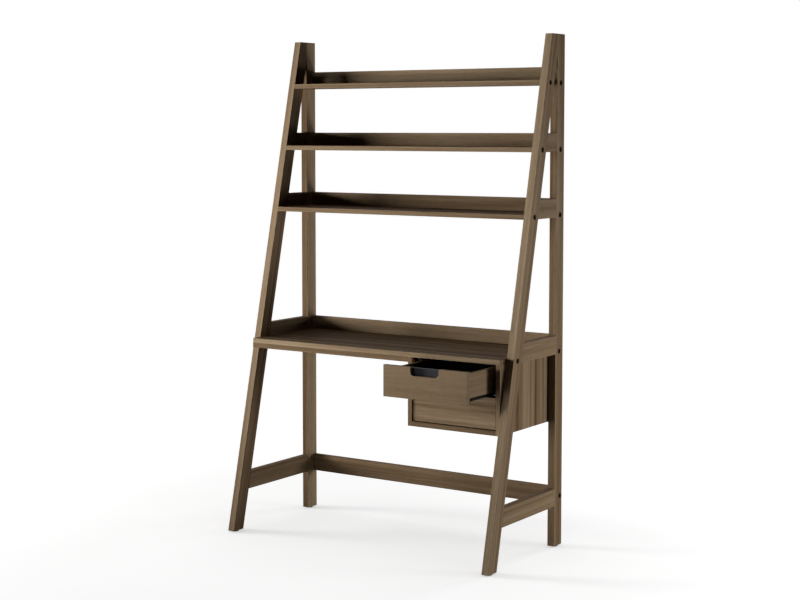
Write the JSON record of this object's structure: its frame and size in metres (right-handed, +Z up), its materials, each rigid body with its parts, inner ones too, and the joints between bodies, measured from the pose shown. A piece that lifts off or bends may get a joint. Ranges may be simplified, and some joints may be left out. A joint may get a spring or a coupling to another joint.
{
  "type": "ladder desk",
  "caption": "Ladder desk with leaning side frames, ledged shelves and desk top, and a hanging drawer cabinet in stained wood.",
  "frame": {"origin": "On the floor, midway between the side frames and midway between the posts' backs and the face of the upper drawer, which stands open", "axes": "+X to the sitter's right, +Y to the back of the desk, +Z up"},
  "size_m": [1.177, 0.608, 1.917],
  "materials": {
    "stained_wood": "grey-brown stain with open grain, matt lacquer",
    "slate_board": "slate grey melamine",
    "plain_wood": "bare, unstained",
    "black_steel": "black oxide, oiled",
    "zinc_steel": "bright zinc",
    "runner_steel": "black powder coat on rolled steel",
    "white_nylon": "natural nylon",
    "dark_glide": "dark brown nylon with fine texture"
  },
  "bodies": {
    "frame": {"barrel_nuts": "zinc_steel", "cabinet_back": "slate_board", "cabinet_bottom": "stained_wood", "cabinet_left_cleat": "slate_board", "cabinet_left_packer": "slate_board", "cabinet_left_side": "stained_wood", "cabinet_rail_pads": "white_nylon", "cabinet_right_cleat": "slate_board", "cabinet_right_packer": "slate_board", "cabinet_right_side": "stained_wood", "cabinet_screws": "zinc_steel", "desk_front_rail": "stained_wood", "desk_ledge": "stained_wood", "desk_top": "stained_wood", "foot_glides": "dark_glide", "frame_bolts": "black_steel", "frame_washers": "black_steel", "ledge_screws": "zinc_steel", "left_desk_side": "stained_wood", "left_front_leg": "stained_wood", "left_lower_shelf_side": "stained_wood", "left_middle_shelf_side": "stained_wood", "left_rear_post": "stained_wood", "left_side_stretcher": "stained_wood", "lower_cabinet_rails": "runner_steel", "lower_shelf": "stained_wood", "lower_shelf_ledge": "stained_wood", "middle_shelf": "stained_wood", "middle_shelf_ledge": "stained_wood", "rear_stretcher": "stained_wood", "right_desk_side": "stained_wood", "right_front_leg": "stained_wood", "right_lower_shelf_side": "stained_wood", "right_middle_shelf_side": "stained_wood", "right_rear_post": "stained_wood", "right_side_stretcher": "stained_wood", "top_shelf": "stained_wood", "top_shelf_ledge": "stained_wood", "upper_cabinet_rails": "runner_steel", "wood_dowels": "plain_wood"},
    "upper_drawer": {"upper_drawer_back": "slate_board", "upper_drawer_bottom": "slate_board", "upper_drawer_dowels": "plain_wood", "upper_drawer_front": "stained_wood", "upper_drawer_inner_front": "slate_board", "upper_drawer_left_side": "stained_wood", "upper_drawer_rail_pads": "white_nylon", "upper_drawer_rails": "runner_steel", "upper_drawer_right_side": "stained_wood", "upper_drawer_screws": "zinc_steel"},
    "lower_drawer": {"lower_drawer_back": "slate_board", "lower_drawer_bottom": "slate_board", "lower_drawer_dowels": "plain_wood", "lower_drawer_front": "stained_wood", "lower_drawer_inner_front": "slate_board", "lower_drawer_left_side": "stained_wood", "lower_drawer_rail_pads": "white_nylon", "lower_drawer_rails": "runner_steel", "lower_drawer_right_side": "stained_wood", "lower_drawer_screws": "zinc_steel"}
  },
  "joints": [
    {"name": "upper_drawer_slide", "type": "slide", "parent": "frame", "child": "upper_drawer", "axis": [0, -1, 0], "range_m": [-0.196, 0.029]},
    {"name": "lower_drawer_slide", "type": "slide", "parent": "frame", "child": "lower_drawer", "axis": [0, -1, 0], "range_m": [0, 0.225]}
  ]
}
